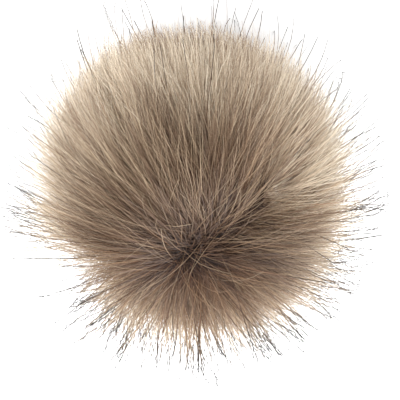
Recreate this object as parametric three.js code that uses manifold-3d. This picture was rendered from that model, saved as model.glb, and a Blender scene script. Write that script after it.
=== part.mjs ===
// Ball-type furry windscreen for a slim microphone: a moulded plastic cage lined with foam, a fur
// cover sewn from four gores, and a collar whose clamp nut grips the microphone in a rubber bush.
// Millimetres, +Z up. The ball stands on the end of its collar: Z = 0 is the collar's end face.
import * as THREE from "three";
import { TessellateModifier } from "three/addons/modifiers/TessellateModifier.js";
import { mergeVertices } from "three/addons/utils/BufferGeometryUtils.js";
import Module from "manifold-3d";

const wasm = await Module();
wasm.setup();

// ---- Driving dimensions ----
const CENTRE_Z = 70; // height of the ball's centre
const FIT_GAP = 0.3; // air between pieces that touch
const ROUND = 32; // sides of a large round piece
const SOFT_ROUND = 24; // sides of a foam or rubber piece
const SMALL_ROUND = 8; // sides of a screw
const OVERCUT = 1; // how far a cutting tool starts outside the piece

const CAGE_R = 50;
const CAGE_WALL = 2.2;
const CAGE_RIB = 2.2; // width of the ribs between the windows
const CAGE_FACET = 17; // longest facet edge that still follows the sphere
const CAGE_FACET_PASSES = 8;
const CAGE_BASE_ANGLE = 32; // degrees from the downward axis where the rear half ends

const RING_OUTER_R = 46.8;
const RING_INNER_R = 44.6;
const RING_HALF_HEIGHT = 5;

const FOAM_OUTER_R = 46.7;
const FOAM_INNER_R = 43;
const FOAM_EDGE_ANGLE = 82.5; // degrees from the ball's axis, leaving room for the joint ring
const FOAM_BASE_ANGLE = 38;

const FUR_INNER_R = 50.8;
const FUR_OUTER_R = 79;
const FUR_HEM_ANGLE = 37.5; // degrees from the downward axis where the cover ends
const GORES = 4;

const HEM_ANGLE = 34.5;
const HEM_CENTRE_R = 53;
const HEM_TUBE_R = 2.3;
const HEM_CHANNEL_R = 1.4;
const ELASTIC_R = 1;
const ELASTIC_SIDES = 6;

const TUBE_OUTER_R = 19.5;
const TUBE_INNER_R = 16.3;
const TUBE_TOP = 32;
const COLLET_SLOTS = 6;
const COLLET_SLOT_WIDTH = 2;
const COLLET_SLOT_TOP = 18;
const FLANGE_R = 26.5;
const FLANGE_BOTTOM = 23;
const FLANGE_TOP = 26.3;
const BASE_PLATE_R = 26.9;
const BASE_PLATE_BOTTOM = 26.6;
const BASE_PLATE_TOP = 29;
const BASE_HOLE_R = 20.3;
const CLAMP_RING_R = 24.8;
const CLAMP_RING_TOP = 31.8;

const BUSH_BORE_R = 10.5; // grips a microphone body of 21 mm
const BUSH_GROOVE_R = 11.4;
const BUSH_OUTER_R = 16;
const BUSH_LIP_R = 18.6;
const BUSH_BOTTOM = 1.5;
const BUSH_TOP = 34.3;
const BUSH_RIBS = 3;
const BUSH_RIB_SECTION = [
  [BUSH_BORE_R, 0],
  [BUSH_BORE_R, 0.4],
  [BUSH_GROOVE_R, 0.5],
  [BUSH_GROOVE_R, 0.9],
]; // radius, and share of one rib's pitch

const WEDGE_BOTTOM = 4.6;
const WEDGE_TOP = 13.6;
const WEDGE_INNER_R = 19.9;
const WEDGE_BOTTOM_R = 21.7; // the wall narrows upwards, which is what squeezes the collet
const WEDGE_TOP_R = 21.2;
const WEDGE_SPLIT = 3;
const WEDGE_KEY_WIDTH = 1.3; // the key slides in one of the collet's slots
const WEDGE_KEY_DEPTH = 3;
const WEDGE_KEY_R = 18.9;
const WEDGE_KEY_SHORTER = 1;
const NUT_BOTTOM = 3;
const NUT_TOP = 16;
const NUT_R = 26;
const NUT_FLUTES = 24;
const NUT_FLUTE_DEPTH = 0.9;
const NUT_FLUTE_SECTION = [
  [0, 0],
  [0.45, 0],
  [0.6, NUT_FLUTE_DEPTH],
  [0.85, NUT_FLUTE_DEPTH],
]; // share of one flute's pitch, and depth there
const NUT_BORE_R = 22.2;
const NUT_LIP_R = 20.1;

const CAGE_SCREWS = 4;
const COLLAR_SCREWS = 4;
const COLLAR_SCREW_R = 22.4; // radius of the circle they stand on

// ---- Materials ----
const finish = (color, roughness, metalness = 0) => ({ color, roughness, metalness });
const FUR = finish(0xa08c73, 0.9);
const BINDING = finish(0x2b2825, 0.85);
const ELASTIC = finish(0x1c1c1c, 0.7);
const CAGE_PLASTIC = finish(0x2f3033, 0.6);
const FOAM = finish(0x3a3b3e, 0.95);
const COLLAR_PLASTIC = finish(0x232427, 0.5);
const NUT_PLASTIC = finish(0x18191b, 0.45);
const NYLON = finish(0xc9c5b8, 0.5);
const RUBBER = finish(0x161616, 0.8);
const STEEL = finish(0x9a9c9f, 0.3, 1);

// ---- Solid and mesh helpers ----
const radians = THREE.MathUtils.degToRad;

function solidOf(geometry) {
  geometry.deleteAttribute("normal");
  geometry.deleteAttribute("uv");
  const merged = mergeVertices(geometry, 1e-4);
  return new wasm.Manifold(
    new wasm.Mesh({
      numProp: 3,
      vertProperties: new Float32Array(merged.attributes.position.array),
      triVerts: new Uint32Array(merged.index.array),
    }),
  );
}

function geometryOf(solid) {
  const mesh = solid.getMesh();
  const geometry = new THREE.BufferGeometry();
  geometry.setAttribute("position", new THREE.BufferAttribute(mesh.vertProperties, 3));
  geometry.setIndex(new THREE.BufferAttribute(mesh.triVerts, 1));
  geometry.computeVertexNormals();
  return geometry;
}

function cut(geometry, tools) {
  return geometryOf(tools.reduce((left, tool) => left.subtract(solidOf(tool)), solidOf(geometry)));
}

function join(first, second) {
  return geometryOf(solidOf(first).add(solidOf(second)));
}

function piece(name, geometry, material) {
  const mesh = new THREE.Mesh(geometry, new THREE.MeshStandardMaterial(material));
  mesh.name = name;
  return mesh;
}

// A body of revolution about Z from [radius, height] points, listed counter-clockwise.
function turned(points, sides = ROUND) {
  const profile = points.map(([r, z]) => new THREE.Vector2(r, z));
  return new THREE.LatheGeometry(profile, sides).rotateX(Math.PI / 2);
}

// The same for a section that stands clear of the axis and closes on itself.
function turnedRing(points, sides = ROUND) {
  return turned([...points, points[0]], sides);
}

// Points of an arc about the ball's centre, by angle from the upward axis in degrees.
function meridian(radius, from, to, steps) {
  return Array.from({ length: steps + 1 }, (_, i) => {
    const angle = radians(from + ((to - from) * i) / steps);
    return [radius * Math.sin(angle), CENTRE_Z + radius * Math.cos(angle)];
  });
}

// Points of a small circle in the radius-height plane.
function circleSection(centreR, centreZ, radius, fromDeg, toDeg, steps) {
  return Array.from({ length: steps + 1 }, (_, i) => {
    const angle = radians(fromDeg + ((toDeg - fromDeg) * i) / steps);
    return [centreR + radius * Math.cos(angle), centreZ + radius * Math.sin(angle)];
  });
}

// An upright cylinder with its lower end at height z.
function post(radius, z, height, sides = SMALL_ROUND) {
  return new THREE.CylinderGeometry(radius, radius, height, sides)
    .rotateX(Math.PI / 2)
    .translate(0, 0, z + height / 2);
}

// A spherical shell with a pole at +Z, built from a flat disc whose windows are cut before it is
// bent: distance from the disc's middle becomes arc length from the pole. Angles are in degrees.
function cageShell(innerAngle, outerAngle, rows) {
  const arc = (deg) => CAGE_R * radians(deg);
  const at = (deg, turn) =>
    new THREE.Vector2(arc(deg) * Math.cos(turn), arc(deg) * Math.sin(turn));
  const loop = (deg, count) =>
    Array.from({ length: count }, (_, i) => at(deg, (2 * Math.PI * i) / count));
  const disc = new THREE.Shape(loop(outerAngle, ROUND));
  if (innerAngle > 0) disc.holes.push(new THREE.Path(loop(innerAngle, ROUND)));
  for (const { from, to, count } of rows)
    for (let i = 0; i < count; i++) {
      const middle = (2 * Math.PI * (i + 0.5)) / count;
      const half = (deg) => Math.PI / count - CAGE_RIB / 2 / (CAGE_R * Math.sin(radians(deg)));
      disc.holes.push(
        new THREE.Path([
          at(from, middle - half(from)),
          at(from, middle + half(from)),
          at(to, middle + half(to)),
          at(to, middle - half(to)),
        ]),
      );
    }
  const flat = new THREE.ExtrudeGeometry(disc, { depth: CAGE_WALL, bevelEnabled: false });
  const shell = new TessellateModifier(CAGE_FACET, CAGE_FACET_PASSES).modify(flat);
  const position = shell.getAttribute("position");
  for (let i = 0; i < position.count; i++) {
    const x = position.getX(i);
    const y = position.getY(i);
    const polar = Math.hypot(x, y) / CAGE_R;
    const turn = Math.atan2(y, x);
    const radius = CAGE_R - CAGE_WALL + position.getZ(i);
    position.setXYZ(
      i,
      radius * Math.sin(polar) * Math.cos(turn),
      radius * Math.sin(polar) * Math.sin(turn),
      radius * Math.cos(polar),
    );
  }
  return shell;
}

const group = new THREE.Group();

// ---- Fur cover: four gores sewn edge to edge, each one cloth of knit backing and long pile ----
function furGore(index) {
  const hem = 180 - FUR_HEM_ANGLE;
  const shell = turned([
    ...meridian(FUR_INNER_R, 0, hem, 9),
    ...meridian(FUR_OUTER_R, hem, 0, 10),
  ]);
  const half = Math.PI / GORES;
  const reach = 2 * FUR_OUTER_R;
  const apex = FIT_GAP / 2 / Math.sin(half);
  const wedge = new THREE.Shape([
    new THREE.Vector2(apex, 0),
    new THREE.Vector2(apex + reach * Math.cos(half), -reach * Math.sin(half)),
    new THREE.Vector2(apex + reach * Math.cos(half), reach * Math.sin(half)),
  ]);
  const blade = new THREE.ExtrudeGeometry(wedge, { depth: 3 * CENTRE_Z, bevelEnabled: false });
  const gore = solidOf(shell).intersect(solidOf(blade.rotateZ(index * 2 * half)));
  return piece(`fur_gore_${index + 1}`, geometryOf(gore), FUR);
}
for (let i = 0; i < GORES; i++) group.add(furGore(i));

// ---- Hem: a folded tape makes a channel round the opening, and an elastic cord runs in it ----
const HEM_SLIT = 20; // half the angle of the gap where the tape's edges meet
const hemR = HEM_CENTRE_R * Math.sin(radians(HEM_ANGLE));
const hemZ = CENTRE_Z - HEM_CENTRE_R * Math.cos(radians(HEM_ANGLE));
const slitAt = 180; // the slit faces the collar
group.add(
  piece(
    "hem_binding",
    turnedRing([
      ...circleSection(hemR, hemZ, HEM_TUBE_R, slitAt - 360 + HEM_SLIT, slitAt - HEM_SLIT, 8),
      ...circleSection(hemR, hemZ, HEM_CHANNEL_R, slitAt - HEM_SLIT, slitAt - 360 + HEM_SLIT, 6),
    ]),
    BINDING,
  ),
  piece(
    "hem_elastic",
    turnedRing(
      circleSection(hemR, hemZ, ELASTIC_R, 0, 360 - 360 / ELASTIC_SIDES, ELASTIC_SIDES - 1),
    ),
    ELASTIC,
  ),
);

// ---- Cage: two moulded halves with open windows, screwed to a ring inside the equator ----
const RIM_ANGLE = 90 - THREE.MathUtils.radToDeg(FIT_GAP / 2 / CAGE_R);
const SCREW_BAND_ANGLE = 84;
const LOWER_ROWS = [
  { from: 37, to: 50.5, count: 20 },
  { from: 53, to: 66.5, count: 20 },
  { from: 69, to: SCREW_BAND_ANGLE, count: 20 },
];
const FRONT_ROWS = [
  { from: 10, to: 19, count: 5 },
  { from: 21.5, to: 34.5, count: 10 },
  ...LOWER_ROWS,
];

const CAGE_SCREW_SHANK_R = 0.8;
const CAGE_SCREW_HEAD_R = 1.5;
const CAGE_SCREW_HEAD = 0.9;
const CAGE_SCREW_OUTER = CAGE_R - 0.4; // the head sits just under the surface
const CAGE_SCREW_INNER = 45.2;
const CAGE_SCREW_REACH = 6; // length of the hole through the cage and the joint ring
const CAGE_SCREW_OFFSET = 2.6; // height above or below the equator

// Turns an upright tool or screw at the middle so that it lies along a radius of the cage.
function laidRadially(geometry, index, offset) {
  return geometry
    .rotateY(Math.PI / 2)
    .rotateZ(((index + 0.5) * 2 * Math.PI) / CAGE_SCREWS)
    .translate(0, 0, CENTRE_Z + offset);
}

function cageScrewHole(index, offset) {
  const shank = post(CAGE_SCREW_SHANK_R + FIT_GAP, RING_INNER_R - OVERCUT, CAGE_SCREW_REACH);
  const head = post(
    CAGE_SCREW_HEAD_R + FIT_GAP,
    CAGE_SCREW_OUTER - CAGE_SCREW_HEAD - FIT_GAP,
    CAGE_WALL,
  );
  return laidRadially(join(shank, head), index, offset);
}

function cageScrew(name, index, offset) {
  const neck = CAGE_SCREW_OUTER - CAGE_SCREW_HEAD;
  const screw = turned(
    [
      [0, CAGE_SCREW_INNER],
      [CAGE_SCREW_SHANK_R, CAGE_SCREW_INNER],
      [CAGE_SCREW_SHANK_R, neck],
      [CAGE_SCREW_HEAD_R, neck],
      [CAGE_SCREW_HEAD_R, CAGE_SCREW_OUTER],
      [0, CAGE_SCREW_OUTER],
    ],
    SMALL_ROUND,
  );
  return piece(name, laidRadially(screw, index, offset), STEEL);
}

const screwIndexes = Array.from({ length: CAGE_SCREWS }, (_, i) => i);
const frontHoles = screwIndexes.map((i) => cageScrewHole(i, CAGE_SCREW_OFFSET));
const rearHoles = screwIndexes.map((i) => cageScrewHole(i, -CAGE_SCREW_OFFSET));

function collarScrewAt(geometry, index) {
  return geometry
    .translate(COLLAR_SCREW_R, 0, 0)
    .rotateZ(((index + 0.5) * 2 * Math.PI) / COLLAR_SCREWS);
}
const COLLAR_SCREW_SHANK_R = 1.1;
const COLLAR_SCREW_HEAD_R = 2.1;
const COLLAR_SCREW_HEAD = 1.4;
const collarHoles = () =>
  Array.from({ length: COLLAR_SCREWS }, (_, i) =>
    collarScrewAt(post(COLLAR_SCREW_SHANK_R + FIT_GAP, FLANGE_BOTTOM - OVERCUT, TUBE_TOP), i),
  );

const frontShell = cageShell(0, RIM_ANGLE, FRONT_ROWS).translate(0, 0, CENTRE_Z);
const rearShell = cageShell(CAGE_BASE_ANGLE, RIM_ANGLE, LOWER_ROWS)
  .rotateX(Math.PI)
  .translate(0, 0, CENTRE_Z);
const basePlate = turnedRing([
  [BASE_HOLE_R, BASE_PLATE_BOTTOM],
  [BASE_PLATE_R, BASE_PLATE_BOTTOM],
  [BASE_PLATE_R, BASE_PLATE_TOP],
  [BASE_HOLE_R, BASE_PLATE_TOP],
]);
const jointRing = turnedRing([
  [RING_INNER_R, CENTRE_Z - RING_HALF_HEIGHT],
  [RING_OUTER_R, CENTRE_Z - RING_HALF_HEIGHT],
  [RING_OUTER_R, CENTRE_Z + RING_HALF_HEIGHT],
  [RING_INNER_R, CENTRE_Z + RING_HALF_HEIGHT],
]);
group.add(
  piece("cage_front", cut(frontShell, frontHoles), CAGE_PLASTIC),
  piece(
    "cage_rear",
    cut(join(rearShell, basePlate), [...rearHoles, ...collarHoles()]),
    CAGE_PLASTIC,
  ),
  piece("cage_joint_ring", cut(jointRing, [...frontHoles, ...rearHoles]), CAGE_PLASTIC),
);
for (const i of screwIndexes) {
  group.add(
    cageScrew(`cage_screw_front_${i + 1}`, i, CAGE_SCREW_OFFSET),
    cageScrew(`cage_screw_rear_${i + 1}`, i, -CAGE_SCREW_OFFSET),
  );
}

// ---- Foam liner: two open-cell foam cups pressed into the cage ----
group.add(
  piece(
    "foam_liner_front",
    turned(
      [
        ...meridian(FOAM_INNER_R, 0, FOAM_EDGE_ANGLE, 7),
        ...meridian(FOAM_OUTER_R, FOAM_EDGE_ANGLE, 0, 7),
      ],
      SOFT_ROUND,
    ),
    FOAM,
  ),
  piece(
    "foam_liner_rear",
    turnedRing(
      [
        ...meridian(FOAM_INNER_R, 180 - FOAM_EDGE_ANGLE, 180 - FOAM_BASE_ANGLE, 5),
        ...meridian(FOAM_OUTER_R, 180 - FOAM_BASE_ANGLE, 180 - FOAM_EDGE_ANGLE, 5),
      ],
      SOFT_ROUND,
    ),
    FOAM,
  ),
);

// ---- Base collar: flange under the cage's base plate, tube ending in sprung collet fingers ----
function slot(width, reach, bottom, top, turn) {
  return new THREE.BoxGeometry(reach, width, top - bottom)
    .translate(reach / 2, 0, (bottom + top) / 2)
    .rotateZ(turn);
}

const collar = turnedRing([
  [TUBE_INNER_R, 0],
  [TUBE_OUTER_R, 0],
  [TUBE_OUTER_R, FLANGE_BOTTOM],
  [FLANGE_R, FLANGE_BOTTOM],
  [FLANGE_R, FLANGE_TOP],
  [TUBE_OUTER_R, FLANGE_TOP],
  [TUBE_OUTER_R, TUBE_TOP],
  [TUBE_INNER_R, TUBE_TOP],
]);
const colletSlots = Array.from({ length: COLLET_SLOTS }, (_, i) =>
  slot(
    COLLET_SLOT_WIDTH,
    2 * FLANGE_R,
    -OVERCUT,
    COLLET_SLOT_TOP,
    ((i + 0.5) * 2 * Math.PI) / COLLET_SLOTS,
  ),
);
const clampRingBottom = BASE_PLATE_TOP + FIT_GAP;
const clampRing = turnedRing([
  [TUBE_OUTER_R + FIT_GAP, clampRingBottom],
  [CLAMP_RING_R, clampRingBottom],
  [CLAMP_RING_R, CLAMP_RING_TOP],
  [TUBE_OUTER_R + FIT_GAP, CLAMP_RING_TOP],
]);
group.add(
  piece("base_collar", cut(collar, [...colletSlots, ...collarHoles()]), COLLAR_PLASTIC),
  piece("collar_clamp_ring", cut(clampRing, collarHoles()), COLLAR_PLASTIC),
);
for (let i = 0; i < COLLAR_SCREWS; i++) {
  const neck = FLANGE_BOTTOM - FIT_GAP;
  const screw = turned(
    [
      [0, neck - COLLAR_SCREW_HEAD],
      [COLLAR_SCREW_HEAD_R, neck - COLLAR_SCREW_HEAD],
      [COLLAR_SCREW_HEAD_R, neck],
      [COLLAR_SCREW_SHANK_R, neck],
      [COLLAR_SCREW_SHANK_R, CLAMP_RING_TOP - FIT_GAP],
      [0, CLAMP_RING_TOP - FIT_GAP],
    ],
    SMALL_ROUND,
  );
  group.add(piece(`collar_screw_${i + 1}`, collarScrewAt(screw, i), STEEL));
}

// ---- Microphone bush: a rubber sleeve with ribs round its bore and a lip over the tube's end ----
const ribPitch = (BUSH_TOP - BUSH_BOTTOM) / BUSH_RIBS;
const ribbedBore = Array.from({ length: BUSH_RIBS }, (_, i) =>
  BUSH_RIB_SECTION.map(([radius, share]) => [radius, BUSH_TOP - ribPitch * (i + share)]),
).flat();
const bushSection = [
  [BUSH_BORE_R, BUSH_BOTTOM],
  [BUSH_OUTER_R, BUSH_BOTTOM],
  [BUSH_OUTER_R, TUBE_TOP + FIT_GAP],
  [BUSH_LIP_R, TUBE_TOP + FIT_GAP],
  [BUSH_LIP_R, BUSH_TOP],
  ...ribbedBore,
];
group.add(piece("mic_bush", turnedRing(bushSection, SOFT_ROUND), RUBBER));

// ---- Clamp: a knurled nut lifts a split wedge ring up the collet, which squeezes the bush ----
const wedge = turnedRing([
  [WEDGE_INNER_R, WEDGE_BOTTOM],
  [WEDGE_BOTTOM_R, WEDGE_BOTTOM],
  [WEDGE_TOP_R, WEDGE_TOP],
  [WEDGE_INNER_R, WEDGE_TOP],
]);
const keyTurn = Math.PI / COLLET_SLOTS;
const keyHeight = WEDGE_TOP - WEDGE_BOTTOM - WEDGE_KEY_SHORTER;
const key = new THREE.BoxGeometry(WEDGE_KEY_DEPTH, WEDGE_KEY_WIDTH, keyHeight)
  .translate(WEDGE_KEY_R, 0, (WEDGE_TOP + WEDGE_BOTTOM) / 2)
  .rotateZ(keyTurn);
const split = slot(WEDGE_SPLIT, 2 * FLANGE_R, 0, NUT_TOP, keyTurn + Math.PI);
group.add(piece("wedge_ring", cut(join(wedge, key), [split]), NYLON));

const flutes = [];
for (let i = 0; i < NUT_FLUTES; i++)
  for (const [share, depth] of NUT_FLUTE_SECTION) {
    const turn = (2 * Math.PI * (i + share)) / NUT_FLUTES;
    flutes.push(
      new THREE.Vector2((NUT_R - depth) * Math.cos(turn), (NUT_R - depth) * Math.sin(turn)),
    );
  }
const knurl = new THREE.ExtrudeGeometry(new THREE.Shape(flutes), {
  depth: NUT_TOP - NUT_BOTTOM,
  bevelEnabled: false,
}).translate(0, 0, NUT_BOTTOM);
const nutBore = turned([
  [0, NUT_BOTTOM - OVERCUT],
  [NUT_LIP_R, NUT_BOTTOM - OVERCUT],
  [NUT_LIP_R, WEDGE_BOTTOM - FIT_GAP],
  [NUT_BORE_R, WEDGE_BOTTOM - FIT_GAP],
  [NUT_BORE_R, NUT_TOP + OVERCUT],
  [0, NUT_TOP + OVERCUT],
]);
group.add(piece("clamp_nut", cut(knurl, [nutBore]), NUT_PLASTIC));

export default group;
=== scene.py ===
import math

import bmesh
import bpy
import numpy as np
from mathutils import Matrix, Vector


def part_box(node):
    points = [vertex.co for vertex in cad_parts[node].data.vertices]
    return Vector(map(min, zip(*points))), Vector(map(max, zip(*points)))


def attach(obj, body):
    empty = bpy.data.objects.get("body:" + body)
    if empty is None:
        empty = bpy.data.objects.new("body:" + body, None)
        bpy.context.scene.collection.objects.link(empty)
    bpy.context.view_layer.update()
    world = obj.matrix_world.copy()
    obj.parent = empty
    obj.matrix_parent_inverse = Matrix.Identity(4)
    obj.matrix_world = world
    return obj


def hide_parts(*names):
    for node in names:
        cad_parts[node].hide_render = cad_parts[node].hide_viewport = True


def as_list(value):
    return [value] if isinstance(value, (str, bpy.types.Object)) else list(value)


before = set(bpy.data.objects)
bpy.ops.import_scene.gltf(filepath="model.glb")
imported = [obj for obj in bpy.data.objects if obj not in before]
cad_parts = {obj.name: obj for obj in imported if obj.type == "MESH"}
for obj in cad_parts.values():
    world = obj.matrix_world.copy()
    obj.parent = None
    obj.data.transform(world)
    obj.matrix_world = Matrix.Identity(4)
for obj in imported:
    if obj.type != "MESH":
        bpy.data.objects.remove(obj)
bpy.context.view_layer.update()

# --------
# Studio: the windscreen stands on its collar on a pale table, and is seen from nearly overhead,
# with the crown of the fur turned a little towards the viewer's feet. Metres throughout.
scene = bpy.context.scene
scene.view_settings.view_transform = "Standard"
scene.view_settings.look = "None"

BALL_CENTRE = Vector((0.0, 0.0, 0.070))
CAMERA_TILT = math.radians(36)
CAMERA_DISTANCE = 0.80
FRAME_WIDTH = 0.1936
SENSOR = 36.0
AIM_BELOW = 0.0075  # the camera aims a little below the ball's middle, and a little to its right
AIM_RIGHT = 0.003
towards_camera = Vector((0.0, math.sin(CAMERA_TILT), math.cos(CAMERA_TILT)))
view_up = Vector((0.0, math.cos(CAMERA_TILT), -math.sin(CAMERA_TILT)))
aim = BALL_CENTRE - AIM_BELOW * view_up + Vector((AIM_RIGHT, 0.0, 0.0))


def add_object(name, data):
    """A new object, put in the scene."""
    added = bpy.data.objects.new(name, data)
    scene.collection.objects.link(added)
    return added


camera_data = bpy.data.cameras.new("camera")
camera_data.sensor_width = SENSOR
camera_data.lens = SENSOR * CAMERA_DISTANCE / FRAME_WIDTH
camera = add_object("camera", camera_data)
camera.location = aim + CAMERA_DISTANCE * towards_camera
view_right = view_up.cross(towards_camera)
camera.rotation_euler = Matrix((view_right, view_up, towards_camera)).transposed().to_euler()
scene.camera = camera


def area_light(name, place, size, power):
    """A square softbox, turned to face the middle of the ball."""
    data = bpy.data.lights.new(name, "AREA")
    data.size = size
    data.energy = power
    light = add_object(name, data)
    light.location = place
    light.rotation_euler = (BALL_CENTRE - Vector(place)).to_track_quat("-Z", "Y").to_euler()


area_light("key_softbox", (0.75, 0.85, 0.9), 0.9, 3.0)
area_light("fill_softbox", (-1.0, 0.05, 0.9), 1.3, 18.0)
area_light("front_softbox", (0.4, -1.0, 0.75), 1.0, 27.0)


def set_inputs(node, values):
    """Gives a shader node's inputs their values, by name."""
    for name, value in values.items():
        node.inputs[name].default_value = value


def join(tree, *joins):
    """Links sockets, each given as a node and the name of its output, then a node and its input."""
    for source, output, target, entry in joins:
        tree.links.new(source.outputs[output], target.inputs[entry])


def blank_finish(name):
    """A new material, with the tree its nodes go in and its shader."""
    finish = bpy.data.materials.new(name)
    finish.use_nodes = True
    return finish, finish.node_tree, finish.node_tree.nodes["Principled BSDF"]


world = bpy.data.worlds.new("white_tent")
world.use_nodes = True
set_inputs(world.node_tree.nodes["Background"], {"Color": (1, 1, 1, 1), "Strength": 1.0})
scene.world = world

FLOOR_HALF_WIDTH = 3.0
floor_mesh = bpy.data.meshes.new("table")
table = bmesh.new()
bmesh.ops.create_grid(table, x_segments=1, y_segments=1, size=FLOOR_HALF_WIDTH)
table.to_mesh(floor_mesh)
table.free()
floor = add_object("table", floor_mesh)
floor_finish, _, floor_shader = blank_finish("pale_table")
set_inputs(floor_shader, {"Base Color": (0.93, 0.93, 0.93, 1), "Roughness": 0.9})
set_inputs(floor_shader, {"Emission Color": (1, 1, 1, 1), "Emission Strength": 0.45})
floor_mesh.materials.append(floor_finish)

# --------
# Microphone bush: a sleeve of black silicone rubber with three soft ribs round its bore. It is
# pushed down into the collar's tube until its lip sits on the tube's upper end.
ROUND_STEPS = 96
SHARP_ANGLE = math.radians(35)
EDGE_ROUNDING = 0.00025


def turned(line, steps, closed=False, doubles=1e-6, start=0.0, sweep=2 * math.pi):
    """A line of (radius, height) corners, taken round the upright axis as a sheet."""
    sheet = bmesh.new()
    turned_by = Matrix.Rotation(start, 3, "Z")
    corners = [sheet.verts.new(turned_by @ Vector((radius, 0, height))) for radius, height in line]
    next_corners = corners[1:] + corners[:1] if closed else corners[1:]
    sides = [sheet.edges.new(pair) for pair in zip(corners, next_corners)]
    bmesh.ops.spin(
        sheet, geom=corners + sides, cent=(0, 0, 0), axis=(0, 0, 1), angle=sweep, steps=steps,
        use_merge=sweep == 2 * math.pi,
    )
    bmesh.ops.remove_doubles(sheet, verts=sheet.verts, dist=doubles)
    return sheet


def rounded(shape, sharp_angle, size, segments):
    """Rounds over the edges that are sharper than an angle."""
    sharp = [edge for edge in shape.edges if edge.calc_face_angle(0) > sharp_angle]
    bmesh.ops.bevel(
        shape, geom=sharp, offset=size, segments=segments, profile=0.5, affect="EDGES", material=-1,
        clamp_overlap=True,
    )
    return shape


def spun(section, steps=ROUND_STEPS, rounding=EDGE_ROUNDING, closed=True):
    """A turned body, whose section closes on itself or ends on the axis."""
    ring = turned(section, steps, closed)
    bmesh.ops.recalc_face_normals(ring, faces=ring.faces)
    return rounded(ring, SHARP_ANGLE, rounding, 2) if rounding else ring


def finished(name, shape, finish, replaced=(), body="windscreen"):
    """Turns a bmesh into a named piece that rides on a body and takes its finish from a slot."""
    mesh = bpy.data.meshes.new(name)
    shape.to_mesh(mesh)
    shape.free()
    mesh.materials.append(finish)
    mesh.polygons.foreach_set("use_smooth", [True] * len(mesh.polygons))
    mesh.set_sharp_from_angle(angle=SHARP_ANGLE)
    piece = add_object(name, mesh)
    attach(piece, body)
    if replaced:
        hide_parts(*replaced)
    return piece


def new_group(name, inputs, outputs):
    """An empty node group with named inputs, each with its usual value, and named outputs."""
    group = bpy.data.node_groups.new(name, "ShaderNodeTree")
    for label, usual in inputs:
        socket = group.interface.new_socket(label, in_out="INPUT", socket_type="NodeSocketFloat")
        socket.default_value = usual
    for label in outputs:
        group.interface.new_socket(label, in_out="OUTPUT", socket_type="NodeSocketFloat")
    return group, group.nodes.new("NodeGroupInput"), group.nodes.new("NodeGroupOutput")


def add_group(tree, group, values):
    """Puts a shared node group into a material, with that material's own values."""
    node = tree.nodes.new("ShaderNodeGroup")
    node.node_tree = group
    set_inputs(node, values)
    return node


def add_tint(tree, places, colours):
    """A ramp between two colours."""
    tint = tree.nodes.new("ShaderNodeValToRGB")
    for stop, place, colour in zip(tint.color_ramp.elements, places, colours):
        stop.position = place
        stop.color = (*colour, 1)
    return tint


def moulded_grain_group():
    """Fine spark-eroded grain with slow cloudy wear: a mask for colour and roughness, and a height."""
    sizes = (("Grain Size", 900.0), ("Wear Size", 60.0))
    group, inside, outside = new_group("moulded_grain", sizes, ("Wear", "Height"))
    place = group.nodes.new("ShaderNodeTexCoord")
    for size, detail, output in (("Grain Size", 2.0, "Height"), ("Wear Size", 6.0, "Wear")):
        noise = group.nodes.new("ShaderNodeTexNoise")
        set_inputs(noise, {"Detail": detail})
        join(group, (place, "Object", noise, "Vector"), (inside, size, noise, "Scale"))
        join(group, (noise, "Fac", outside, output))
    return group


moulded_grain = moulded_grain_group()


def moulded_finish(name, dark, light, roughness, grain_size, wear_size, depth):
    """A moulded plastic or rubber: the grain raises the surface, and wear shifts colour and gloss."""
    finish, tree, shader = blank_finish(name)
    grain = add_group(tree, moulded_grain, {"Grain Size": grain_size, "Wear Size": wear_size})
    tint = add_tint(tree, (0.35, 0.70), (dark, light))
    gloss = tree.nodes.new("ShaderNodeMapRange")
    set_inputs(gloss, {"From Min": 0.3, "From Max": 0.7, "To Min": roughness[0], "To Max": roughness[1]})
    relief = tree.nodes.new("ShaderNodeBump")
    set_inputs(relief, {"Strength": 0.4, "Distance": depth})
    join(
        tree,
        (grain, "Wear", tint, "Fac"),
        (grain, "Wear", gloss, "Value"),
        (grain, "Height", relief, "Height"),
        (tint, "Color", shader, "Base Color"),
        (gloss, "Result", shader, "Roughness"),
        (relief, "Normal", shader, "Normal"),
    )
    return finish


BUSH_BORE_R = 0.0105
BUSH_GROOVE_R = 0.0114
BUSH_OUTER_R = 0.0160
BUSH_LIP_THICKNESS = 0.0020
BUSH_RIBS = 3
BUSH_RIB_SHARES = ((BUSH_BORE_R, 0.0), (BUSH_BORE_R, 0.40), (BUSH_GROOVE_R, 0.52), (BUSH_GROOVE_R, 0.88))

bush_low, bush_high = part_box("mic_bush")
bush_pitch = (bush_high.z - bush_low.z) / BUSH_RIBS
bush_section = [
    (BUSH_BORE_R, bush_low.z),
    (BUSH_OUTER_R, bush_low.z),
    (BUSH_OUTER_R, bush_high.z - BUSH_LIP_THICKNESS),
    (bush_high.x, bush_high.z - BUSH_LIP_THICKNESS),
    (bush_high.x, bush_high.z),
]
for rib in range(BUSH_RIBS):
    bush_section += [(radius, bush_high.z - bush_pitch * (rib + share)) for radius, share in BUSH_RIB_SHARES]
bush_rubber = moulded_finish(
    "bush_rubber", (0.010, 0.010, 0.010), (0.020, 0.019, 0.018), (0.62, 0.85), 1400, 90, 0.00005
)
finished("microphone_bush", spun(bush_section), bush_rubber, ["mic_bush"])

# --------
# Base collar: a turned flange on a tube, moulded in black nylon. Six slots split the tube's end
# into collet fingers. The ring above the cage's base plate is drawn down to it by four screws.
COLLAR_TUBE_R = 0.0195
COLLAR_BORE_R = 0.0163
COLLAR_TUBE_TOP = 0.0320
FLANGE_BOTTOM = 0.0230
FLANGE_TOP = 0.0263
COLLET_SLOTS = 6
COLLET_SLOT_WIDTH = 0.0020
COLLET_SLOT_TOP = 0.0180
SLOT_OVERCUT = 0.001

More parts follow.
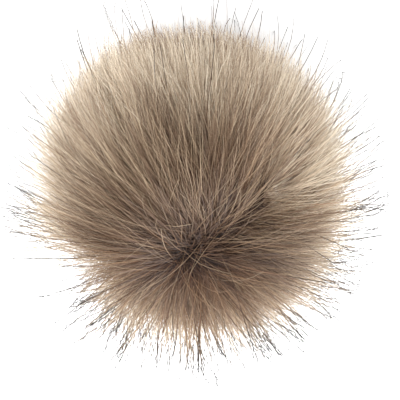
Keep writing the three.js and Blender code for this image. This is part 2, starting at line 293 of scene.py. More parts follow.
collar_low, collar_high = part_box("base_collar")
collar_section = [
    (COLLAR_BORE_R, collar_low.z),
    (COLLAR_TUBE_R, collar_low.z),
    (COLLAR_TUBE_R, FLANGE_BOTTOM),
    (collar_high.x, FLANGE_BOTTOM),
    (collar_high.x, FLANGE_TOP),
    (COLLAR_TUBE_R, FLANGE_TOP),
    (COLLAR_TUBE_R, COLLAR_TUBE_TOP),
    (COLLAR_BORE_R, COLLAR_TUBE_TOP),
]
collar_plastic = moulded_finish(
    "collar_plastic", (0.014, 0.015, 0.016), (0.026, 0.027, 0.029), (0.34, 0.55), 1100, 70, 0.00003
)
collar = finished(
    "collet_collar", spun(collar_section), collar_plastic, ["base_collar"]
)

slot_cutters = bmesh.new()
slot_height = COLLET_SLOT_TOP - collar_low.z + SLOT_OVERCUT
for slot_index in range(COLLET_SLOTS):
    cutter = bmesh.ops.create_cube(slot_cutters, size=1.0)["verts"]
    bmesh.ops.scale(slot_cutters, verts=cutter, vec=(COLLAR_TUBE_R, COLLET_SLOT_WIDTH, slot_height))
    slot_middle = COLLET_SLOT_TOP - slot_height / 2
    bmesh.ops.translate(slot_cutters, verts=cutter, vec=(COLLAR_TUBE_R, 0, slot_middle))
    turned_by = Matrix.Rotation(2 * math.pi * (slot_index + 0.5) / COLLET_SLOTS, 3, "Z")
    bmesh.ops.rotate(slot_cutters, verts=cutter, cent=(0, 0, 0), matrix=turned_by)
cutter_mesh = bpy.data.meshes.new("slot_cutters")
slot_cutters.to_mesh(cutter_mesh)
slot_cutters.free()
cutter_object = add_object("slot_cutters", cutter_mesh)
slotting = collar.modifiers.new("slots", "BOOLEAN")
slotting.object = cutter_object
slotting.solver = "EXACT"
slotted = bpy.data.meshes.new_from_object(collar.evaluated_get(bpy.context.evaluated_depsgraph_get()))
collar.modifiers.clear()
collar.data = slotted
bpy.data.objects.remove(cutter_object)


def plain_ring(name, node, bore_r, finish):
    """A turned ring of oblong section, as tall and as wide as the node it stands for."""
    low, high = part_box(node)
    section = [(bore_r, low.z), (high.x, low.z), (high.x, high.z), (bore_r, high.z)]
    finished(name, spun(section), finish, [node])


CLAMP_RING_BORE_R = 0.0198
plain_ring("clamp_ring", "collar_clamp_ring", CLAMP_RING_BORE_R, collar_plastic)

# --------
# Clamp: a split wedge ring of natural nylon sits round the collet, and a fluted nut of black
# nylon carries it up as it is turned. The ring's key slides in one of the collet's slots.
nylon = moulded_finish("nylon", (0.50, 0.48, 0.42), (0.62, 0.60, 0.54), (0.35, 0.55), 700, 80, 0.00003)
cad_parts["wedge_ring"].data.materials.clear()
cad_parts["wedge_ring"].data.materials.append(nylon)

NUT_BORE_R = 0.0222
NUT_LIP_R = 0.0201
NUT_LIP_TOP = 0.0043
NUT_CHAMFER = 0.0009
NUT_FLUTES = 24
NUT_FLUTE_DEPTH = 0.0009
NUT_FLUTE_FLAT = 0.35
NUT_FLUTE_SLOPE = 1.3
NUT_STEPS = 8 * NUT_FLUTES
NUT_RIM = 0.0014  # plain band above the flutes

nut_low, nut_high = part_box("clamp_nut")
nut_section = [
    (NUT_LIP_R, nut_low.z),
    (nut_high.x - NUT_CHAMFER, nut_low.z),
    (nut_high.x, nut_low.z + NUT_CHAMFER),
    (nut_high.x, nut_high.z - NUT_CHAMFER - NUT_RIM),
    (nut_high.x - NUT_FLUTE_DEPTH, nut_high.z - NUT_RIM),
    (nut_high.x - NUT_FLUTE_DEPTH, nut_high.z),
    (NUT_BORE_R, nut_high.z),
    (NUT_BORE_R, NUT_LIP_TOP),
    (NUT_LIP_R, NUT_LIP_TOP),
]
nut = spun(nut_section, NUT_STEPS, 0)
for vertex in nut.verts:
    radius = math.hypot(vertex.co.x, vertex.co.y)
    if radius > nut_high.x - NUT_FLUTE_DEPTH / 2:
        turn = math.atan2(vertex.co.y, vertex.co.x)
        flute = min(1.0, max(0.0, NUT_FLUTE_FLAT - NUT_FLUTE_SLOPE * math.cos(NUT_FLUTES * turn)))
        shrink = 1 - NUT_FLUTE_DEPTH * flute / radius
        vertex.co.x *= shrink
        vertex.co.y *= shrink
nut_plastic = moulded_finish(
    "nut_plastic", (0.010, 0.011, 0.012), (0.022, 0.023, 0.026), (0.30, 0.50), 1200, 110, 0.00003
)
finished("fluted_nut", nut, nut_plastic, ["clamp_nut"], "nut")

# --------
# Cage: two halves of a ball, moulded in grey-black nylon with open windows between ribs, and a
# ring inside the equator that both are screwed to. The rear half ends in a flat base plate.
CAGE_R = 0.050
CAGE_WALL = 0.0022
CAGE_COLUMNS = 120
CAGE_PLATE_R = 0.0203
CAGE_BASE = 32  # degrees from the pole at which the rear half is cut off by its plate
CAGE_RIM = 89.7  # the two rims leave a hair's breadth between them
CAGE_ROW = 2.3  # degrees between rows of faces
# Rows of windows, each as the angles it runs between and the columns of faces from rib to rib.
CAGE_LOW_WINDOWS = ((37, 50.5, 6), (53, 66.5, 6), (69, 84, 6))
CAGE_POLE_WINDOWS = ((10, 19, 24), (21.5, 34.5, 12))
WALL_EDGE_ANGLE = math.radians(60)

cage_plastic = moulded_finish(
    "cage_plastic", (0.022, 0.023, 0.026), (0.040, 0.041, 0.045), (0.45, 0.68), 800, 50, 0.00004
)


def cage_half(first, windows, plate):
    """One half with its pole upwards, as a sheet from the first angle to the rim, less its windows."""
    angles = {first, CAGE_RIM}
    for start, end, _ in windows:
        rows = max(2, round((end - start) / CAGE_ROW))
        angles.update(start + (end - start) * row / rows for row in range(rows + 1))
    middle_r = CAGE_R - CAGE_WALL / 2
    line = [
        (middle_r * math.sin(math.radians(angle)), middle_r * math.cos(math.radians(angle)))
        for angle in sorted(angles)
    ]
    if plate:
        line.insert(0, (CAGE_PLATE_R, line[0][1]))
    sheet = turned(line, CAGE_COLUMNS)
    opened = []
    for face in sheet.faces:
        middle = face.calc_center_median()
        angle = math.degrees(math.atan2(math.hypot(middle.x, middle.y), middle.z))
        column = math.floor(math.atan2(middle.y, middle.x) % (2 * math.pi) / (2 * math.pi) * CAGE_COLUMNS)
        for start, end, columns in windows:
            if start < angle < end and column % columns:
                opened.append(face)
    bmesh.ops.delete(sheet, geom=opened, context="FACES")
    bmesh.ops.recalc_face_normals(sheet, faces=sheet.faces)
    return sheet


FACE_DOWN = Matrix.Rotation(math.pi, 3, "X")


def place_shape(shape, place, turned_by=None):
    """Turns a shape about the middle, then moves it to its place."""
    if turned_by:
        bmesh.ops.rotate(shape, verts=shape.verts, cent=(0, 0, 0), matrix=turned_by)
    bmesh.ops.translate(shape, verts=shape.verts, vec=place)


def walled(sheet, wall):
    """Gives a sheet its wall and rounds the wall's edges over."""
    bmesh.ops.solidify(sheet, geom=sheet.faces[:], thickness=wall)
    bmesh.ops.recalc_face_normals(sheet, faces=sheet.faces)
    return rounded(sheet, WALL_EDGE_ANGLE, EDGE_ROUNDING, 1)


for end, first, windows, plate in (
    ("front", 0, CAGE_POLE_WINDOWS + CAGE_LOW_WINDOWS, False),
    ("rear", CAGE_BASE, CAGE_LOW_WINDOWS, True),
):
    half = cage_half(first, windows, plate)
    place_shape(half, BALL_CENTRE, FACE_DOWN if plate else None)
    shell = walled(half, CAGE_WALL)
    finished(f"cage_{end}_half", shell, cage_plastic, [f"cage_{end}"])

JOINT_RING_BORE_R = 0.0446
plain_ring("joint_ring", "cage_joint_ring", JOINT_RING_BORE_R, cage_plastic)

# --------
# Screws: eight small ones hold the cage halves to the joint ring, and four larger ones hold the
# collar. All are zinc-plated steel pan heads with a hexagon socket, driven straight in.
SCREW_SIDES = 24
SOCKET_SHARE = 0.5  # socket across its corners, as a share of the head
SOCKET_DEPTH_SHARE = 0.6
THREAD_PITCH_SHARE = 0.7
THREAD_ROOT_SHARE = 0.82
SHANK_TIP_SHARE = 0.6
HEAD_PROFILE = ((1, 0), (1, 0.6), (0.86, 0.92), (0.7, 1))  # shares of its radius and height
SCREWS_EACH = 4
CAGE_SCREW = (0.0015, 0.0009, 0.0008, 0.0035)  # head radius, height, shank radius, length
CAGE_SCREW_SINK = 0.0013
COLLAR_SCREW = (0.0021, 0.0014, 0.0011)  # the shank is as long as the node leaves room for


def plated_steel():
    """Zinc-plated steel, with cloudy colour and a fine grain in its gloss."""
    finish, tree, shader = blank_finish("plated_steel")
    set_inputs(shader, {"Metallic": 1.0})
    grain = add_group(tree, moulded_grain, {"Grain Size": 2500, "Wear Size": 400})
    tint = add_tint(tree, (0.3, 0.7), ((0.36, 0.36, 0.37), (0.58, 0.58, 0.60)))
    gloss = tree.nodes.new("ShaderNodeMapRange")
    set_inputs(gloss, {"To Min": 0.22, "To Max": 0.42})
    join(
        tree,
        (grain, "Wear", tint, "Fac"),
        (grain, "Height", gloss, "Value"),
        (tint, "Color", shader, "Base Color"),
        (gloss, "Result", shader, "Roughness"),
    )
    return finish


screw_steel = plated_steel()


def socket_screw(head_r, head_height, shank_r, shank_length):
    """A screw with its head's underside at the middle, pointing down, and its socket open upwards."""
    tip = shank_r * SHANK_TIP_SHARE
    height = -shank_length + tip
    profile = [(0, -shank_length), (tip, -shank_length), (shank_r, height)]
    while height < -2 * shank_r * THREAD_PITCH_SHARE:
        for share in (THREAD_ROOT_SHARE, 1):
            height += shank_r * THREAD_PITCH_SHARE / 2
            profile.append((shank_r * share, height))
    profile.append((shank_r, 0))
    profile += [(head_r * across, head_height * up) for across, up in HEAD_PROFILE]
    screw = turned(profile, SCREW_SIDES, doubles=1e-7)
    rim = [edge for edge in screw.edges if edge.is_boundary]
    socket_r = head_r * SOCKET_SHARE
    mouth = bmesh.ops.create_circle(screw, cap_ends=False, segments=6, radius=socket_r)["verts"]
    bmesh.ops.translate(screw, verts=mouth, vec=(0, 0, head_height))
    hexagon = [edge for edge in screw.edges if edge.verts[0] in mouth and edge.verts[1] in mouth]
    bmesh.ops.bridge_loops(screw, edges=rim + hexagon)
    walls = bmesh.ops.extrude_edge_only(screw, edges=hexagon)["geom"]
    floor_corners = [item for item in walls if isinstance(item, bmesh.types.BMVert)]
    sink = -head_height * SOCKET_DEPTH_SHARE
    bmesh.ops.translate(screw, verts=floor_corners, vec=(0, 0, sink))
    bmesh.ops.contextual_create(screw, geom=[i for i in walls if isinstance(i, bmesh.types.BMEdge)])
    bmesh.ops.recalc_face_normals(screw, faces=screw.faces)
    return screw


def drive_screw(name, node, screw, way, seat):
    """Turns a screw's head to face a way, seats it, and puts it in its node's place."""
    turned_by = Vector((0, 0, 1)).rotation_difference(way).to_matrix() if way else FACE_DOWN
    place_shape(screw, seat, turned_by)
    finished(name, screw, screw_steel, [node])


for half in ("front", "rear"):
    for number in range(1, SCREWS_EACH + 1):
        node = f"cage_screw_{half}_{number}"
        low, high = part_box(node)
        middle = (low + high) / 2
        outward = Vector((middle.x, middle.y, 0)).normalized()
        seat = outward * (CAGE_R - CAGE_SCREW_SINK) + Vector((0, 0, middle.z))
        drive_screw(f"screw_{half}_{number}", node, socket_screw(*CAGE_SCREW), outward, seat)
for number in range(1, SCREWS_EACH + 1):
    node = f"collar_screw_{number}"
    low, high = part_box(node)
    middle = (low + high) / 2
    head_height = COLLAR_SCREW[1]
    screw = socket_screw(*COLLAR_SCREW, high.z - low.z - head_height)
    seat = (middle.x, middle.y, low.z + head_height)
    drive_screw(f"screw_collar_{number}", node, screw, None, seat)

# --------
# Foam liner: two cups of open-cell foam, charcoal grey, pressed into the cage from its rim. They
# stop the last of the wind that gets through the pile.
FOAM_OUTER_R = 0.0467
FOAM_INNER_R = 0.0430
FOAM_EDGE = 82.5  # degrees from the ball's axis
FOAM_BASE = 142
FOAM_ARC_STEPS = 20


def foam_finish():
    """Charcoal foam, pitted with open cells."""
    finish, tree, shader = blank_finish("foam")
    set_inputs(shader, {"Roughness": 0.95})
    place = tree.nodes.new("ShaderNodeTexCoord")
    cells = tree.nodes.new("ShaderNodeTexVoronoi")
    set_inputs(cells, {"Scale": 1300})
    tint = add_tint(tree, (0.1, 0.7), ((0.012, 0.012, 0.013), (0.055, 0.056, 0.060)))
    relief = tree.nodes.new("ShaderNodeBump")
    set_inputs(relief, {"Distance": 0.0003})
    join(
        tree,
        (place, "Object", cells, "Vector"),
        (cells, "Distance", tint, "Fac"),
        (cells, "Distance", relief, "Height"),
        (tint, "Color", shader, "Base Color"),
        (relief, "Normal", shader, "Normal"),
    )
    return finish


foam = foam_finish()


def arc_points(radius, start, end):
    """Points of an arc about the ball's middle, by angle down from its crown in degrees."""
    angles = [math.radians(start + (end - start) * i / FOAM_ARC_STEPS) for i in range(FOAM_ARC_STEPS + 1)]
    return [(max(radius * math.sin(angle), 0), BALL_CENTRE.z + radius * math.cos(angle)) for angle in angles]


def foam_cup(start, end):
    """One cup, moulded between two arcs; the front one is whole at the crown."""
    section = arc_points(FOAM_INNER_R, start, end) + arc_points(FOAM_OUTER_R, end, start)
    return spun(section, rounding=0, closed=start > 0)


for end, start, stop in (("front", 0, FOAM_EDGE), ("rear", 180 - FOAM_EDGE, FOAM_BASE)):
    cup_shape = foam_cup(start, stop)
    cup = finished(f"foam_cup_{end}", cup_shape, foam, [f"foam_liner_{end}"])

# --------
# Backing: four gores of polyester warp knit, the cloth that the pile is tufted into. They are
# sewn edge to edge from the crown to the hem with the seam allowance turned in, and pulled over
# the cage like a cap.
GORES = 4
BACKING_R = 0.0518
BACKING_THICKNESS = 0.0005
BACKING_ROWS = 40
BACKING_COLUMNS = 24
BACKING_HEM = 143.5  # degrees from the crown
SEAM_GAP = math.radians(0.12)
SEAM_DEPTH = 0.0004
SEAM_WIDTH = math.radians(5)
SEAM_ALLOWANCE = 0.0007


def uv_laid(mesh, measure):
    """Gives each corner of the mesh a flat position, from its place and the middle of its face."""
    layer = mesh.uv_layers.new(name="flat")
    for face in mesh.polygons:
        for loop in face.loop_indices:
            place = mesh.vertices[mesh.loops[loop].vertex_index].co
            layer.data[loop].uv = measure(place, face.center)


def worked(tree, operation, *values):
    """A sum on sockets and plain numbers, as a node; gives the socket that holds the result."""
    node = tree.nodes.new("ShaderNodeMath")
    node.operation = operation
    for socket, value in zip(node.inputs, values):
        if isinstance(value, (int, float)):
            socket.default_value = value
        else:
            tree.links.new(value, socket)
    return node.outputs[0]


FUZZ_SIZE = 3000
FUZZ_HEIGHT = 0.3


def woven_group():
    """Rows and columns of loops on a flat layout: a mask of the raised yarn, and a fuzzy height."""
    sizes = (("Loops per Unit", 1000.0), ("Slant", 0.5))
    group, inside, outside = new_group("loop_rows", sizes, ("Yarn", "Height"))
    nodes, links = group.nodes, group.links
    loops = inside.outputs["Loops per Unit"]
    layout = nodes.new("ShaderNodeUVMap")
    layout.uv_map = "flat"
    split = nodes.new("ShaderNodeSeparateXYZ")
    links.new(layout.outputs["UV"], split.inputs["Vector"])
    column = worked(group, "PINGPONG", worked(group, "MULTIPLY", split.outputs["X"], loops), 0.5)
    slanted = worked(group, "MULTIPLY", column, inside.outputs["Slant"])
    down = worked(group, "MULTIPLY", split.outputs["Y"], loops)
    row = worked(group, "PINGPONG", worked(group, "ADD", down, slanted), 0.5)
    ridge = worked(group, "SINE", worked(group, "MULTIPLY", column, math.pi))
    yarn = worked(group, "MULTIPLY", ridge, worked(group, "MULTIPLY", row, 2.0))
    fuzz = nodes.new("ShaderNodeTexNoise")
    set_inputs(fuzz, {"Scale": FUZZ_SIZE})
    links.new(layout.outputs["UV"], fuzz.inputs["Vector"])
    links.new(yarn, outside.inputs["Yarn"])
    height = worked(group, "MULTIPLY_ADD", fuzz.outputs["Fac"], FUZZ_HEIGHT, yarn)
    links.new(height, outside.inputs["Height"])
    return group


loop_rows = woven_group()


def cloth_finish(name, dark, light, loops, slant, depth):
    """A dull cloth of looped or woven yarn, dark between its loops."""
    finish, tree, shader = blank_finish(name)
    set_inputs(shader, {"Roughness": 0.9, "Specular IOR Level": 0.1})
    rows = add_group(tree, loop_rows, {"Loops per Unit": loops, "Slant": slant})
    tint = add_tint(tree, (0.15, 0.75), (dark, light))
    relief = tree.nodes.new("ShaderNodeBump")
    set_inputs(relief, {"Distance": depth})
    join(
        tree,
        (rows, "Yarn", tint, "Fac"),
        (rows, "Height", relief, "Height"),
        (tint, "Color", shader, "Base Color"),
        (relief, "Normal", shader, "Normal"),
    )
    return finish


knit = cloth_finish("knit_backing", (0.020, 0.012, 0.008), (0.070, 0.044, 0.030), 900, 0.5, 0.0002)


def turn_from(place, middle_turn):
    """How far round the ball a place is from the middle of its gore, in radians."""
    return (math.atan2(place.y, place.x) - middle_turn + math.pi) % (2 * math.pi) - math.pi


def backing_gore(middle_turn):
    """One gore: an arc from crown to hem spun a quarter turn, dipped and turned in at its seams."""
    half = math.pi / GORES - SEAM_GAP
    polars = [math.radians(BACKING_HEM) * row / BACKING_ROWS for row in range(BACKING_ROWS + 1)]
    line = [(BACKING_R * math.sin(polar), BACKING_R * math.cos(polar)) for polar in polars]
    gore = turned(line, BACKING_COLUMNS, start=middle_turn - half, sweep=2 * half)
    bmesh.ops.recalc_face_normals(gore, faces=gore.faces)

    def from_seam(place):
        return half - abs(turn_from(place, middle_turn))

    def on_seam(vertex):
        at_crown = math.hypot(vertex.co.x, vertex.co.y) < SEAM_GAP * BACKING_R
        return from_seam(vertex.co) < SEAM_GAP or at_crown

    seam = [edge for edge in gore.edges if edge.is_boundary and all(map(on_seam, edge.verts))]
    for vertex in gore.verts:
        if math.hypot(vertex.co.x, vertex.co.y) > SEAM_WIDTH * BACKING_R:
            near = max(0.0, 1 - from_seam(vertex.co) / SEAM_WIDTH)
            vertex.co *= 1 - SEAM_DEPTH * near**2 / BACKING_R
    turned_in = bmesh.ops.extrude_edge_only(gore, edges=seam)["geom"]
    for vertex in [item for item in turned_in if isinstance(item, bmesh.types.BMVert)]:
        vertex.co *= 1 - SEAM_ALLOWANCE / BACKING_R
    bmesh.ops.recalc_face_normals(gore, faces=gore.faces)
    place_shape(gore, BALL_CENTRE)
    return gore


for gore_number in range(1, GORES + 1):
    middle_turn = (gore_number - 1) * 2 * math.pi / GORES
    piece = finished(
        f"backing_gore_{gore_number}", backing_gore(middle_turn), knit,
        [f"fur_gore_{gore_number}"],
    )

    def knit_layout(place, _, middle_turn=middle_turn):
        local = place - BALL_CENTRE
        polar = math.acos(max(-1.0, min(1.0, local.z / local.length)))
        return turn_from(local, middle_turn) * math.sin(polar) * BACKING_R, polar * BACKING_R

    uv_laid(piece.data, knit_layout)
    cloth = piece.modifiers.new("cloth", "SOLIDIFY")
    cloth.thickness = BACKING_THICKNESS
    cloth.offset = -1

# --------
# Hem: a folded polyester tape sewn round the opening with a row of stitches, drawn into small
# gathers by the braided elastic that runs in it. It keeps the cover's edge tight on the collar.
HEM_TUBE_R = 0.0022
ELASTIC_R = 0.0010
HEM_SIDES = 20
HEM_STEPS = 288
HEM_GATHERS = 44
HEM_GATHER_DEPTH = 0.07
ELASTIC_SIDES = 12
STITCHES = 88
STITCH_LENGTH = 0.0014
STITCH_R = 0.00018
STITCH_TURN = math.radians(62)  # where the stitches run, up from the tape's outer side

hem_low, hem_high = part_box("hem_binding")
hem_r = hem_high.x - (hem_high.z - hem_low.z) / 2
hem_z = (hem_high.z + hem_low.z) / 2


def round_section(radius, sides):
    """The round section of a ring that lies where the hem does."""
    turns = [2 * math.pi * side / sides for side in range(sides)]
    return [(hem_r + radius * math.cos(turn), hem_z + radius * math.sin(turn)) for turn in turns]


def unbroken(angle, near):
    """The angle, brought within half a turn of another."""
    if angle - near > math.pi:
        return angle - 2 * math.pi
    if near - angle > math.pi:
        return angle + 2 * math.pi
    return angle


def hem_layout(radius):
    """Lays a ring's skin out flat: along it, then round it, with no face torn at the join."""

    def angles(place):
        out = math.hypot(place.x, place.y) - hem_r
        return math.atan2(place.y, place.x), math.atan2(place.z - hem_z, out)

    def measure(place, face_middle):
        turn, fold = map(unbroken, angles(place), angles(face_middle))
        return turn * hem_r, fold * radius

    return measure


tape = spun(round_section(HEM_TUBE_R, HEM_SIDES), HEM_STEPS, 0)
for vertex in tape.verts:
    turn = math.atan2(vertex.co.y, vertex.co.x)
    middle = Vector((hem_r * math.cos(turn), hem_r * math.sin(turn), hem_z))
    gather = math.sin(HEM_GATHERS * turn) + 0.5 * math.sin(1.7 * HEM_GATHERS * round(turn, 2) + 1)
    vertex.co = middle + (vertex.co - middle) * (1 - HEM_GATHER_DEPTH * (0.5 + 0.33 * gather))
tape_weave = cloth_finish(
    "hem_tape", (0.008, 0.007, 0.006), (0.040, 0.036, 0.032), 1400, 0.0, 0.00015
)
hem_tape = finished("hem_tape", tape, tape_weave, ["hem_binding"])
uv_laid(hem_tape.data, hem_layout(HEM_TUBE_R))

stitches = bmesh.new()
for stitch in range(STITCHES):
    turn = 2 * math.pi * stitch / STITCHES
    thread = bmesh.ops.create_uvsphere(stitches, u_segments=8, v_segments=6, radius=STITCH_R)["verts"]
    bmesh.ops.scale(stitches, verts=thread, vec=(1, STITCH_LENGTH / (2 * STITCH_R), 1))
    out = hem_r + HEM_TUBE_R * math.cos(STITCH_TURN)
    up = hem_z + HEM_TUBE_R * math.sin(STITCH_TURN)
    bmesh.ops.translate(stitches, verts=thread, vec=(out, 0, up))
    bmesh.ops.rotate(stitches, verts=thread, cent=(0, 0, 0), matrix=Matrix.Rotation(turn, 3, "Z"))
thread_finish = moulded_finish(
    "hem_thread", (0.045, 0.036, 0.028), (0.075, 0.062, 0.050), (0.5, 0.7), 4000, 500, 0.00003
)
hem_stitches = finished("hem_stitches", stitches, thread_finish)

elastic_weave = cloth_finish(
    "hem_elastic", (0.006, 0.006, 0.006), (0.030, 0.029, 0.028), 2200, 1.0, 0.0001
)
elastic = finished(
    "hem_elastic_cord", spun(round_section(ELASTIC_R, ELASTIC_SIDES), ROUND_STEPS, 0), elastic_weave,
    ["hem_elastic"],
)
uv_laid(elastic.data, hem_layout(ELASTIC_R))

# --------
# Pile: acrylic faux fur tufted into the knit. A short dense undercoat, the soft coat, long hair
# laid over it from the crown down, paler hairs among them, and stiff guard hairs with dark tips.
HEM_POLAR = math.radians(142)
GOLDEN_TURN = math.pi * (3 - math.sqrt(5))
PILE_SEED = 7
rng = np.random.default_rng(PILE_SEED)


def unit(v):
    return v / np.linalg.norm(v, axis=-1, keepdims=True)


def roots(count, jitter):
    """Evenly scattered root directions from the crown down to the hem, as polar angle and turn."""
    i = np.arange(count) + rng.uniform(-jitter, jitter, count) + 0.5
    z = 1 - (1 - math.cos(HEM_POLAR)) * np.clip(i / count, 0, 1)
    polar = np.arccos(np.clip(z, -1, 1))
    turn = (np.arange(count) * GOLDEN_TURN + rng.normal(0, 0.02, count)) % (2 * math.pi)
    return polar, turn


def sphere_frame(polar, turn):
    """Outward normal, the tangent that runs away from the crown, and the tangent round it."""
    sp, cp, st, ct = np.sin(polar), np.cos(polar), np.sin(turn), np.cos(turn)
    normal = np.stack([sp * ct, sp * st, cp], -1)
    away = np.stack([cp * ct, cp * st, -sp], -1)
    around = np.stack([-st, ct, 0 * st], -1)
    return normal, away, around


def lean_at(polar):
    """How far the pile lies over, away from the crown, in radians."""
    return np.radians(np.interp(np.degrees(polar), [0, 30, 60, 90, 120, 142], [70, 73, 72, 66, 48, 30]))


def bump(turn, middle, width):
    """One at a turn round the ball, fading to nothing past the width either side; in degrees."""
    off = (np.degrees(turn) - middle + 180) % 360 - 180
    return np.exp(-((off / width) ** 2)), off


def band(polar, low, high, soft=11):
    """One between two polar angles in degrees, fading over the soft edge."""
    angle = np.degrees(polar)
    return np.clip((angle - low) / soft, 0, 1) * np.clip((high - angle) / soft, 0, 1)


# Partings, each as turn, width, the polar angles it runs between, the spread of the hair either
# side of it in degrees, and how much shorter the hair is in it.
PARTINGS = [
    (31, 17, -6, 56, 48, 1.0),
    (212, 13, 22, 96, 46, 0.9),
    (310, 11, 42, 96, 44, 0.85),
    (277, 6, 42, 90, 26, 0.5),
    (245, 7, 42, 90, 28, 0.55),
    (342, 7, 44, 98, 24, 0.4),
    (180, 7, 36, 95, 12, 0.2),
    (122, 8, 14, 60, 14, 0.2),
    (78, 7, 14, 70, 12, 0.2),
]
CROWN_LINE = np.array([[-0.20, -0.13], [0.26, 0.15]])  # ends of the crown's parting, seen from above


def hair_field(polar, turn, mess):
    """Direction away from the crown, outward normal, lean and reach of a hair at each root."""
    normal = sphere_frame(polar, turn)[0]
    start, end = CROWN_LINE
    share = np.clip(((normal[:, :2] - start) @ (end - start)) / ((end - start) @ (end - start)), 0, 1)
    pole = (start + share[:, None] * (end - start)) * 0.55
    pole = pole + rng.normal(0, mess, pole.shape)
    pole = unit(np.concatenate([pole, np.ones((len(pole), 1))], 1))
    away = normal - pole
    away = away - normal * (away * normal).sum(1, keepdims=True)
    away = unit(away + 1e-6)
    around = np.cross(normal, away)
    swirl = np.zeros(len(polar))
    shorter = np.ones(len(polar))
    for middle, width, low, high, spread, loss in PARTINGS:
        near, off = bump(turn, middle, width)
        inside = near * band(polar, low, high)
        swirl += np.radians(spread) * np.sign(off) * inside
        shorter -= loss * inside
    return normal, away, around, swirl, shorter


COAT_REACH = 0.0680  # from the ball's middle to the ends of the soft coat
SKIRT_SINK = 0.0150  # how much less the coat reaches in the skirt and at the back
BACK_SINK = 0.006
LEFT_SWELL = 0.002
CORNER_SWELL = 0.004
HEM_DROP = 0.004
UNEVENNESS = 0.0013


def skirt(polar, turn):
    """The front of the ball below the crown, where the pile is thinner and wispy, and paler: partly its own
    colour, partly painted light.
    """
    return bump(turn, 264, 60)[0] * band(polar, 20, 150, 25)


def envelope(polar, turn, thinned=1.0):
    """How far from the ball's middle the dense pile reaches, with a slow unevenness."""
    thin = skirt(polar, turn) * thinned
    top = bump(turn, 90, 60)[0] * band(polar, 50, 150, 30)
    left = bump(turn, 196, 24)[0] * band(polar, 40, 150, 30)
    corner = bump(turn, 330, 16)[0] * band(polar, 30, 120, 30)
    drop = np.interp(np.degrees(polar), [0, 110, 142], [0, 0, HEM_DROP])
    uneven = np.sin(3 * turn + 1.0) * np.sin(5 * polar) + np.sin(7 * turn + 9 * polar) * 0.8
    uneven = uneven + 0.6 * np.sin(13 * turn - 6 * polar)
    lobes = LEFT_SWELL * left + CORNER_SWELL * corner - SKIRT_SINK * thin - BACK_SINK * top
    return COAT_REACH + lobes - drop + UNEVENNESS * uneven


def reach_for(lean, target):
    """Length of a straight hair that leaves the backing at this lean and ends at the target."""
    half = BACKING_R * np.cos(lean)
    return np.sqrt(half**2 + target**2 - BACKING_R**2) - half


ARCH = 0.22  # how far a hair arches outwards, as a share of its length
WAVES = 1.7  # half waves along a hair
PILE_LIMIT = 0.0932
FLOOR_GAP = 0.0008


def hair_paths(normal, away, around, lean, swirl, length, curl, wave, steps):
    """Points along each hair, which leaves the backing at its lean, then arches, curls and waves."""
    along = away * np.cos(swirl)[:, None] + around * np.sin(swirl)[:, None]
    first = normal * np.cos(lean)[:, None] + along * np.sin(lean)[:, None]
    t = np.linspace(0, 1, steps + 1)[None, :, None]
    bend = (normal * (curl[:, :1] - ARCH) + around * curl[:, 1:])[:, None, :]
    phase = t * math.pi * WAVES + wave[:, 1:, None]
    ripple = around[:, None, :] * wave[:, :1, None] * np.sin(phase)
    shape = first[:, None, :] * t + bend * (t**2 - t) + ripple * t
    return normal[:, None, :] * BACKING_R + length[:, None, None] * shape


def make_locks(count, lean_spread, swirl_spread, sizes, curl_spread):
    """Guide hairs that the pile gathers towards: one bundle of values for each lock."""
    polar, turn = roots(count, 0.5)
    turn = (turn + rng.normal(0, 0.05, count)) % (2 * math.pi)
    normal, away, around, swirl, short = hair_field(polar, turn, 0.04)
    return {
        "normal": normal,
        "away": away,
        "around": around,
        "lean": lean_at(polar) + np.radians(rng.normal(0, lean_spread, count)),
        "swirl": swirl + np.radians(rng.normal(0, swirl_spread, count)),
        "size": short * rng.uniform(*sizes, count),
        "curl": rng.normal(0, curl_spread, (count, 2)),
        "tone": rng.uniform(0, 1, count),
        "warmth": rng.uniform(0, 1, count) ** 2,
    }


def nearest(normal, lock):
    """The lock that each root lies closest to, worked out a few thousand roots at a time."""
    parts = np.array_split(normal, max(1, len(normal) // 4000))
    return np.concatenate([np.argmax(part @ lock["normal"].T, 1) for part in parts])


big_locks = make_locks(340, 6, 9, (0.86, 1.14), (0.08, 0.12))
small_locks = make_locks(3000, 7, 8, (0.86, 1.12), (0.08, 0.11))


def follow(lock, home, length, steps):
    """The paths that hairs would take if each were its lock's own guide hair."""
    still = np.zeros((len(home), 2))
    laid = [lock[key][home] for key in ("normal", "away", "around", "lean", "swirl")]
    return hair_paths(*laid, length, lock["curl"][home], still, steps)


THIN_IF_LONG, THIN_IF_NOT = 0.9, 0.15  # how much of the skirt's sink the longer hairs keep


def hair_length(size, lean, polar, turn, short, reaches, lengths, upright):
    """Lean and length of each hair, from how far its tip reaches, or its own length, or both."""
    if not reaches:
        return lean, size * reach_for(lean, envelope(polar, turn))
    span = rng.uniform(*reaches, len(polar))
    thinned = THIN_IF_LONG if lengths else THIN_IF_NOT
    target = span * envelope(polar, turn, thinned) / COAT_REACH
    if not lengths:
        lean = lean * (1 - 0.2 * (1 - upright))
        return lean, reach_for(lean, target) * (1 - 0.5 * upright * (1 - short))
    length = rng.uniform(*lengths, len(polar)) * (0.6 + 0.4 * short)
    cosine = (target**2 - BACKING_R**2 - length**2) / (2 * BACKING_R * length)
    return np.arccos(np.clip(cosine, -0.05, 0.95)), length


def kept_on_table(path):
    """Draws in the hairs that would pass the cover's widest line, and lifts them off the table."""
    widest = np.abs(path[:, :, :2]).max(-1)[:, :, None]
    distance = np.linalg.norm(path, axis=-1, keepdims=True)
    path *= np.minimum(1, PILE_LIMIT / np.maximum(widest, 0.95 * distance))
    path[:, :, 2] = np.maximum(path[:, :, 2], FLOOR_GAP - BALL_CENTRE.z)


